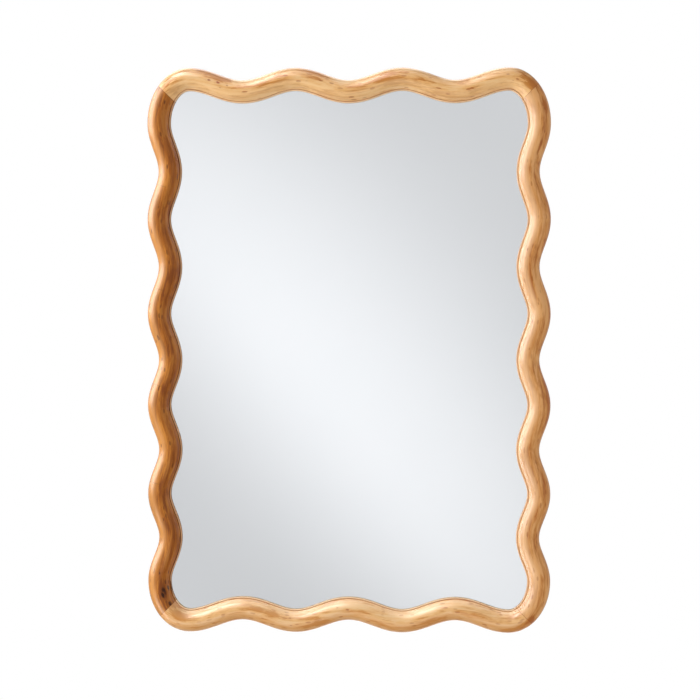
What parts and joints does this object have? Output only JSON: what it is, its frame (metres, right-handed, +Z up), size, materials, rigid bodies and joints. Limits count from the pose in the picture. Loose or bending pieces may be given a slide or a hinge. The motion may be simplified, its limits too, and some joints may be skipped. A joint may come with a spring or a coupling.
{
  "type": "wall mirror",
  "caption": "Portrait wall mirror with a wavy, round-nosed solid wood frame mitred at the corners, and swinging D-ring hangers on its back.",
  "frame": {"origin": "on the wall plane, which the wall bumpers' faces touch, midway across and midway up the frame", "axes": "+Z up the mirror, +X to the viewer's right, and the mirror faces -Y, so +Y points into the wall"},
  "size_m": [0.652, 0.036, 0.914],
  "materials": {
    "frame_wood": "satin lacquer over honey-coloured pine",
    "dowel_wood": "bare",
    "clear_glass": "polished",
    "silvering": "mirror, grey backing paint",
    "spacer_rubber": "matt",
    "card": "matt",
    "hardboard": "smooth hardboard",
    "zinc_screw": "zinc plated",
    "zinc_strap": "zinc plated",
    "zinc_wire": "zinc plated",
    "bumper_rubber": "matt"
  },
  "bodies": {
    "mirror": {"frame_top_rail": "frame_wood", "frame_bottom_rail": "frame_wood", "frame_left_stile": "frame_wood", "frame_right_stile": "frame_wood", "corner_dowels": "dowel_wood", "mirror_glass": "clear_glass", "mirror_silvering": "silvering", "edge_spacers": "spacer_rubber", "backing_card": "card", "back_panel": "hardboard", "panel_screws": "zinc_screw", "hanger_strap_left": "zinc_strap", "hanger_strap_right": "zinc_strap", "hanger_screws": "zinc_screw", "wall_bumpers": "bumper_rubber"},
    "ring_left": {"d_ring_left": "zinc_wire"},
    "ring_right": {"d_ring_right": "zinc_wire"}
  },
  "joints": [
    {"name": "ring_left_swing", "type": "hinge", "parent": "mirror", "child": "ring_left", "pos_m": [-0.31125, -0.00345, 0.2321], "axis": [1, 0, 0], "range_deg": [0, 180]},
    {"name": "ring_right_swing", "type": "hinge", "parent": "mirror", "child": "ring_right", "pos_m": [0.31125, -0.00345, 0.2321], "axis": [1, 0, 0], "range_deg": [0, 180]}
  ]
}
